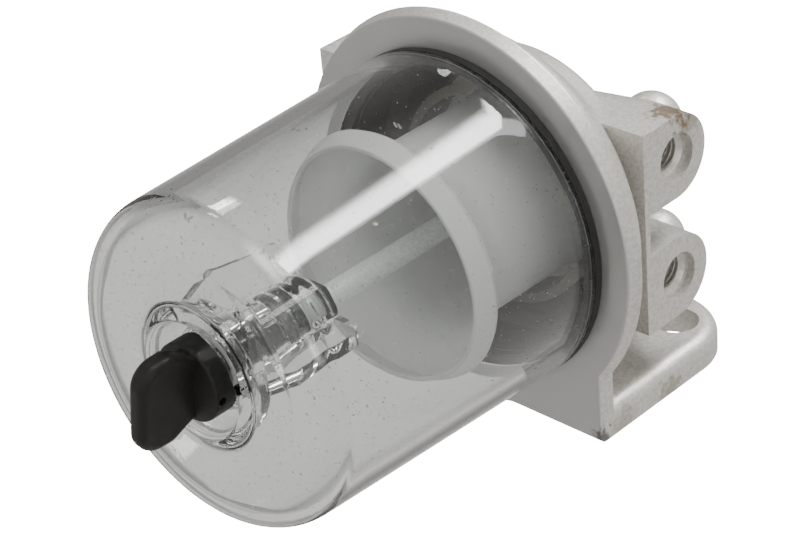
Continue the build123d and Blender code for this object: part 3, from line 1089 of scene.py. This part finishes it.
@dataclass
class MilkyBaffle:
    """Baffle: a tube pushed into the head's spigot, with a bell mouth and a turned-in rim."""

    collar_radius: float = 31.9
    collar_top: float = 29.5
    collar_foot: float = 24.0
    tube_radius: float = 28.6
    wall: float = 1.6
    bell_top: float = -20.5
    bell_rounding: float = 14.0
    rim_back_radius: float = 38.0
    rim_back: float = -29.4
    rim_radius: float = 39.0
    rim_height: float = -31.3
    lip_radius: float = 36.6
    lip_foot: float = -36.9
    nib_angle: float = 346.0
    nib_width: float = 3.0
    nib_rise: float = 0.6
    nib_reach: float = 0.4
    shoulder_rounding: float = 0.8
    rim_rounding: float = 0.5
    inner_rim_rounding: float = 0.4
    lip_slant: float = 0.3
    inner_bell_walls: float = 4.0
    steps: int = 180

    def corners(self) -> list[Corner]:
        """List the outline's corners: down the outside, then up the inside.

        Returns:
            The corners in order.
        """
        inner = self.tube_radius - self.wall
        inner_back = self.rim_back_radius - self.wall
        inner_bell = self.bell_rounding + self.inner_bell_walls * self.wall
        half_wall = self.wall / 2
        rim, inner_rim = self.rim_rounding, self.inner_rim_rounding
        return [
            Corner(self.collar_radius, self.collar_top),
            Corner(self.collar_radius, self.collar_foot),
            Corner(self.tube_radius, self.collar_foot, self.shoulder_rounding),
            Corner(self.tube_radius, self.bell_top, self.bell_rounding),
            Corner(self.rim_back_radius, self.rim_back, rim),
            Corner(self.rim_radius, self.rim_height, rim),
            Corner(self.lip_radius, self.lip_foot, rim),
            Corner(self.lip_radius - self.wall, self.lip_foot + self.lip_slant, rim),
            Corner(self.rim_radius - self.wall, self.rim_height, inner_rim),
            Corner(inner_back, self.rim_back - half_wall, inner_rim),
            Corner(inner, self.bell_top - half_wall, inner_bell),
            Corner(inner, self.collar_top),
        ]

    def _nib(self, degrees: float, point: Vector) -> float:
        """Find how far the moulding nib lifts a point of the rim's side.

        Args:
            degrees: The point's angle round the bowl axis.
            point: Its radius and height.

        Returns:
            The lift in millimetres.
        """
        reach = self.nib_reach
        on_side = point.x > self.rim_back_radius - reach and point.y > self.rim_height - reach
        near = abs(degrees - self.nib_angle) < self.nib_width / 2
        return self.nib_rise if on_side and near else 0.0

    def build(self, finish: bpy.types.Material) -> bpy.types.Object:
        """Turn the outline round the bowl axis and let it stand for the plain node.

        Args:
            finish: The baffle's material.

        Returns:
            The new object.
        """
        outline = rounded_outline(self.corners())
        shell = bmesh.new()
        rings = []
        for number in range(self.steps):
            angle = math.tau * number / self.steps
            ring = []
            for point in outline:
                radius = point.x + self._nib(math.degrees(angle), point)
                spot = place(radius * math.cos(angle), radius * math.sin(angle), point.y)
                ring.append(shell.verts.new(spot))
            rings.append(ring)
        for near, far in zip(rings, rings[1:] + rings[:1]):
            for index in range(len(outline)):
                shell.faces.new((near[index - 1], near[index], far[index], far[index - 1]))
        bmesh.ops.recalc_face_normals(shell, faces=shell.faces)
        return stand_for("milky_baffle", shell, "baffle", finish)


@dataclass
class ClearBowl:
    """The bowl's moulded skin, closed at its seams, with the boss gripping the insert."""

    merge_gap: float = 0.001
    sharp_angle: float = 30.0
    insert_bore: float = 6.25
    insert_grip: float = 6.05
    bore_match: float = 0.02

    def _grip(self, shell: bmesh.types.BMesh) -> None:
        """Draw the bore in onto the insert, because the insert is pressed into it.

        Args:
            shell: The bowl's shell, whose vertices move.
        """
        for vertex in shell.verts:
            beside = (vertex.co - FACE_CENTRE) / MM
            if abs(beside.xy.length - self.insert_bore) < self.bore_match:
                share = self.insert_grip / self.insert_bore
                vertex.co = place(beside.x * share, beside.y * share, beside.z)

    def build(self, finish: bpy.types.Material) -> bpy.types.Object:
        """Merge a copy of the bowl and let it stand for the plain node.

        Args:
            finish: The bowl's material.

        Returns:
            The new object.
        """
        shell = bmesh.new()
        shell.from_mesh(frame["nodes"]["bowl"].data)
        bmesh.ops.remove_doubles(shell, verts=shell.verts, dist=self.merge_gap * MM)
        self._grip(shell)
        for edge in shell.edges:
            edge.smooth = edge.calc_face_angle(math.pi) < math.radians(self.sharp_angle)
        return stand_for("clear_bowl", shell, "bowl", finish)


@dataclass
class PhotoCamera:
    """The camera that was fitted to the photograph, placed beside the bowl axis."""

    eye: tuple[float, float, float] = (419.9, -344.3, -433.5)
    forward: tuple[float, float, float] = (-0.61705, 0.51221, 0.5974)
    down: tuple[float, float, float] = (0.30191, 0.85516, -0.42137)
    focal_pixels: float = 2386.5
    picture_width: float = 800.0
    sensor_width: float = 36.0
    nearest: float = 0.01
    farthest: float = 20.0

    def build(self) -> bpy.types.Object:
        """Make the camera and set it as the scene's.

        Returns:
            The camera object.
        """
        data = bpy.data.cameras.new("photo_camera")
        data.sensor_width = self.sensor_width
        data.lens = self.sensor_width * self.focal_pixels / self.picture_width
        data.clip_start = self.nearest
        data.clip_end = self.farthest
        camera = bpy.data.objects.new("photo_camera", data)
        bpy.context.scene.collection.objects.link(camera)
        back = -Vector(self.forward).normalized()
        up = -Vector(self.down)
        right = up.cross(back).normalized()
        up = back.cross(right)
        turn = Matrix((right, up, back)).transposed().to_4x4()
        camera.matrix_world = Matrix.Translation(place(*self.eye)) @ turn
        bpy.context.scene.camera = camera
        return camera


@dataclass(frozen=True)
class SoftBox:
    """A soft light: where it stands from the object, its distance, size, power and turn.

    The fade gives the soft shares of its width and length: near, far, foot and head.
    """

    name: str
    direction: tuple[float, float, float]
    distance: float
    width: float
    length: float
    power: float
    fade: tuple[float, float, float, float] | None = None
    roll: float = 0.0

    def build(self, aim: Vector) -> None:
        """Stand the light, turned to the object.

        Args:
            aim: The point that it looks at.
        """
        data = bpy.data.lights.new(self.name, "AREA")
        data.shape = "RECTANGLE"
        data.size = self.width
        data.size_y = self.length
        data.energy = self.power
        if self.fade is not None:
            self._soften(data)
        light = bpy.data.objects.new(self.name, data)
        bpy.context.scene.collection.objects.link(light)
        direction = Vector(self.direction).normalized()
        right = Vector((0, 0, 1)).cross(direction).normalized()
        turn = Matrix((right, direction.cross(right), direction)).transposed().to_4x4()
        rolled = turn @ Matrix.Rotation(math.radians(self.roll), 4, "Z")
        light.matrix_world = Matrix.Translation(aim + direction * self.distance) @ rolled

    def _soften(self, data: bpy.types.Light) -> None:
        """Let the light fade towards its edges, as a cloth panel does.

        Args:
            data: The light.
        """
        data.use_nodes = True
        bench = NodeBench(data.node_tree)
        where = bench.add("ShaderNodeNewGeometry").outputs["Parametric"]
        across, along = bench.add("ShaderNodeSeparateXYZ", vector=where).outputs[:2]
        near, far, foot, head = self.fade
        strength = bench.spread(across, 0.0, near)
        for axis, start, end in ((across, 1.0, 1.0 - far), (along, 0.0, foot), (along, 1.0, 1.0 - head)):
            strength = bench.math("MULTIPLY", strength, bench.spread(axis, start, end))
        emission = next(node for node in data.node_tree.nodes if node.type == "EMISSION")
        bench.feed(emission, "strength", strength)


@dataclass(frozen=True)
class Shade:
    """A dim round part of the surroundings, whose middle may stay clear, with its limits in degrees."""

    name: str
    direction: tuple[float, float, float]
    outer: float
    inner: float
    clear: float | None = None
    solid: float | None = None

    def share(self, bench: NodeBench, where: bpy.types.NodeSocket) -> bpy.types.NodeSocket:
        """Find how much of the shade lies in a direction.

        Args:
            bench: The world's bench.
            where: The direction that is looked in.

        Returns:
            The share of the shade.
        """
        toward = Vector(self.direction).normalized()
        along = bench.add("ShaderNodeVectorMath", at_0=where, at_1=toward)
        along.operation = "DOT_PRODUCT"
        along.label = self.name
        cosine = along.outputs["Value"]
        rim = (math.cos(math.radians(edge)) for edge in (self.outer, self.inner))
        share = bench.spread(cosine, *rim)
        if self.clear is None:
            return share
        middle = (math.cos(math.radians(edge)) for edge in (self.clear, self.solid))
        return bench.math("MULTIPLY", share, bench.spread(cosine, *middle))


@dataclass
class Studio:
    """Pale floor, pale surroundings and soft lights."""

    shades: tuple[Shade, ...] = (
        Shade("behind", (-0.617, 0.512, 0.597), 36.0, 27.0, 13.0, 18.0),
        Shade("blind_side", (-0.725, -0.338, 0.600), 46.0, 22.0),
        Shade("round_camera", (0.617, -0.512, -0.597), 66.0, 34.0),
    )
    floor_level: float = -0.85
    floor_size: float = 8.0
    floor_tone: float = 0.8
    floor_roughness: float = 0.9
    surround_tone: tuple[float, float, float] = (0.84, 0.825, 0.80)
    shade_share: float = 0.35
    backdrop_tone: float = 18.0
    aim_height: float = -40.0
    boxes: tuple[SoftBox, ...] = (
        SoftBox(
            "top_strip",
            (0.1736, -0.8100, 0.5601),
            1.359,
            0.30,
            0.80,
            29.0,
            fade=(0.55, 0.15, 0.06, 0.05),
            roll=38.5,
        ),
        SoftBox("small_patch", (-0.52, -0.68, 0.40), 1.3, 0.16, 0.16, 2.5, (0.2, 0.2, 0.2, 0.2)),
        SoftBox("overhead", (0.25, -0.95, 0.05), 1.4, 1.1, 1.1, 40.0, (0.5, 0.5, 0.5, 0.5)),
        SoftBox("port_side", (0.90, -0.30, -0.30), 1.5, 0.7, 0.7, 9.0, (0.4, 0.4, 0.4, 0.4)),
        SoftBox("below", (0.2, -0.25, -0.95), 1.6, 0.9, 0.9, 12.0),
    )

    def build(self) -> None:
        """Make the floor, the world and every light."""
        self._floor()
        self._world()
        for box in self.boxes:
            box.build(place(0, 0, self.aim_height))

    def _floor(self) -> None:
        """Lay the pale floor below the object."""
        half = self.floor_size / 2
        mesh = bpy.data.meshes.new("studio_floor")
        corners = [(-half, -half), (half, -half), (half, half), (-half, half)]
        mesh.from_pydata([(x, y, self.floor_level) for x, y in corners], [], [(0, 1, 2, 3)])
        floor = bpy.data.objects.new("studio_floor", mesh)
        bpy.context.scene.collection.objects.link(floor)
        material = bpy.data.materials.new("studio_floor")
        material.use_nodes = True
        shader = material.node_tree.nodes["Principled BSDF"]
        shader.inputs["Base Color"].default_value = (*([self.floor_tone] * 3), 1.0)
        shader.inputs["Roughness"].default_value = self.floor_roughness
        mesh.materials.append(material)

    def _world(self) -> None:
        """Surround the object with a pale tone, and show the picture a white backdrop."""
        world = bpy.data.worlds.new("studio")
        bpy.context.scene.world = world
        world.use_nodes = True
        bench = NodeBench(world.node_tree)
        world.node_tree.nodes.clear()
        shaded = tuple(tone * self.shade_share for tone in self.surround_tone)
        around = bench.mix(self._shade(bench), (*self.surround_tone, 1.0), (*shaded, 1.0))
        soft = bench.add("ShaderNodeBackground", color=around, strength=1.0)
        plain = bench.add("ShaderNodeBackground", color=(1.0, 1.0, 1.0, 1.0), strength=self.backdrop_tone)
        seen = bench.add("ShaderNodeLightPath").outputs["Is Camera Ray"]
        both = bench.add("ShaderNodeMixShader", at_0=seen, at_1=soft.outputs[0], at_2=plain.outputs[0])
        bench.add("ShaderNodeOutputWorld", surface=both.outputs[0])

    def _shade(self, bench: NodeBench) -> bpy.types.NodeSocket:
        """Dim parts of the surroundings: behind the object, on its blind side and round the camera.

        Args:
            bench: The world's bench.

        Returns:
            How dim each direction is, from 0 to 1.
        """
        where = bench.add("ShaderNodeTexCoord").outputs["Generated"]
        darkest = 0.0
        for shade in self.shades:
            darkest = bench.math("MAXIMUM", darkest, shade.share(bench, where))
        return darkest


def dress_frame(effects: SharedEffects) -> dict[str, bpy.types.Material]:
    """Give every CAD node the finish of its material slot.

    Args:
        effects: The shared groups.

    Returns:
        The materials by slot name.
    """
    made = {slot: finish.make(effects) for slot, finish in FINISHES.items()}
    for part in frame["record"]["subparts"]:
        node = frame["nodes"][part["node"]]
        node.data.materials.clear()
        node.data.materials.append(made[part["material_slot"]])
        LOG.info("%s: %d faces, %s", node.name, len(node.data.polygons), part["material_slot"])
    return made


def main() -> None:
    """Build the studio, dress the frame and add the fine pieces."""
    logging.basicConfig(level=logging.INFO, format="%(name)s: %(message)s")
    PhotoCamera().build()
    Studio().build()
    finishes = dress_frame(SharedEffects())
    sweep = RidgeTree()
    for assembly in (HeadPorts(), BossInsert(), TieRod(), DrainShank()):
        for ridge in assembly.ridges():
            ridge.build(sweep, finishes[ridge.slot])
    MilkyBaffle().build(finishes["milky_plastic"])
    ClearBowl().build(finishes["clear_plastic"])


if __name__ == "__main__":
    main()
